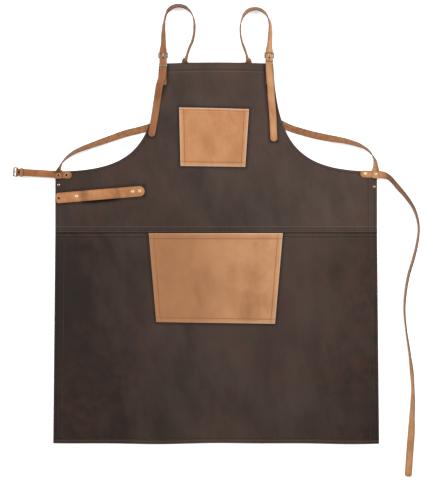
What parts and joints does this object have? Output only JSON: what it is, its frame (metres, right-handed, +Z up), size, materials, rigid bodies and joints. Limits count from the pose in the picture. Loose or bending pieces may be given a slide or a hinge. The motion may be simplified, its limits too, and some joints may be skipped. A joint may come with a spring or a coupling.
{
  "type": "leather butcher apron",
  "caption": "Leather apron laid flat, with bib, chest and waist pockets, towel loop, buckled shoulder straps and a waist tie.",
  "frame": {"origin": "on the surface the apron lies on, under the middle of the waist seam", "axes": "+Z up from the surface, +Y from the skirt to the bib, +X to the side with the long waist tie"},
  "size_m": [0.8531, 0.9929, 0.0192],
  "materials": {
    "brown_leather": "oiled dark brown leather",
    "tan_leather": "waxed tan leather",
    "strap_leather": "vegetable tanned strap leather with burnished edges",
    "brown_thread": "waxed thread",
    "tan_thread": "waxed thread",
    "buckle_metal": "antique brass plate",
    "rivet_metal": "polished pale brass"
  },
  "bodies": {
    "apron": {"bib_panel": "brown_leather", "skirt_panel": "brown_leather", "waist_seam_thread": "brown_thread", "bib_edge_thread": "brown_thread", "skirt_hem_thread": "brown_thread", "chest_pocket": "tan_leather", "chest_pocket_thread": "tan_thread", "waist_pocket": "tan_leather", "waist_pocket_thread": "tan_thread", "shoulder_tab_left": "strap_leather", "shoulder_tab_right": "strap_leather", "shoulder_buckle_left": "buckle_metal", "shoulder_buckle_right": "buckle_metal", "shoulder_rivet_caps_left": "rivet_metal", "shoulder_rivet_caps_right": "rivet_metal", "shoulder_rivet_posts_left": "rivet_metal", "shoulder_rivet_posts_right": "rivet_metal", "shoulder_strap_left": "strap_leather", "shoulder_strap_right": "strap_leather", "waist_strap_left": "strap_leather", "waist_strap_fold_thread": "tan_thread", "waist_tie_right": "strap_leather", "corner_rivet_caps_left": "rivet_metal", "corner_rivet_caps_right": "rivet_metal", "corner_rivet_posts_left": "rivet_metal", "corner_rivet_posts_right": "rivet_metal", "edge_rivet_caps": "rivet_metal", "edge_rivet_posts": "rivet_metal", "towel_strap": "strap_leather", "towel_rivet_caps": "rivet_metal", "towel_rivet_posts": "rivet_metal"},
    "shoulder_tongue_left": {"shoulder_tongue_left": "buckle_metal"},
    "shoulder_tongue_right": {"shoulder_tongue_right": "buckle_metal"},
    "shoulder_keeper_left": {"shoulder_keeper_left": "buckle_metal"},
    "shoulder_keeper_right": {"shoulder_keeper_right": "buckle_metal"},
    "waist_buckle": {"waist_buckle": "buckle_metal"},
    "waist_tongue": {"waist_tongue": "buckle_metal"},
    "waist_keeper": {"waist_keeper": "strap_leather"}
  },
  "joints": [
    {"name": "shoulder_tongue_left_lift", "type": "hinge", "parent": "apron", "child": "shoulder_tongue_left", "pos_m": [-0.1115, 0.366, 0.00475], "axis": [1, 0, 0], "range_deg": [0, 50]},
    {"name": "shoulder_tongue_right_lift", "type": "hinge", "parent": "apron", "child": "shoulder_tongue_right", "pos_m": [0.1115, 0.366, 0.00475], "axis": [1, 0, 0], "range_deg": [0, 50]},
    {"name": "shoulder_keeper_left_slide", "type": "slide", "parent": "apron", "child": "shoulder_keeper_left", "axis": [0, 1, 0], "range_m": [-0.001, 0.012]},
    {"name": "shoulder_keeper_right_slide", "type": "slide", "parent": "apron", "child": "shoulder_keeper_right", "axis": [0, 1, 0], "range_m": [-0.011, 0.002]},
    {"name": "waist_buckle_swing", "type": "hinge", "parent": "apron", "child": "waist_buckle", "pos_m": [-0.4174, 0.1262, 0.00475], "axis": [0.0593, 0.9982, 0], "range_deg": [-69, 5]},
    {"name": "waist_tongue_lift", "type": "hinge", "parent": "waist_buckle", "child": "waist_tongue", "pos_m": [-0.4174, 0.1262, 0.00475], "axis": [0.0593, 0.9982, 0], "range_deg": [0, 42]},
    {"name": "waist_keeper_slide", "type": "slide", "parent": "apron", "child": "waist_keeper", "axis": [0.9982, -0.0593, 0], "range_m": [0, 0.055]}
  ]
}
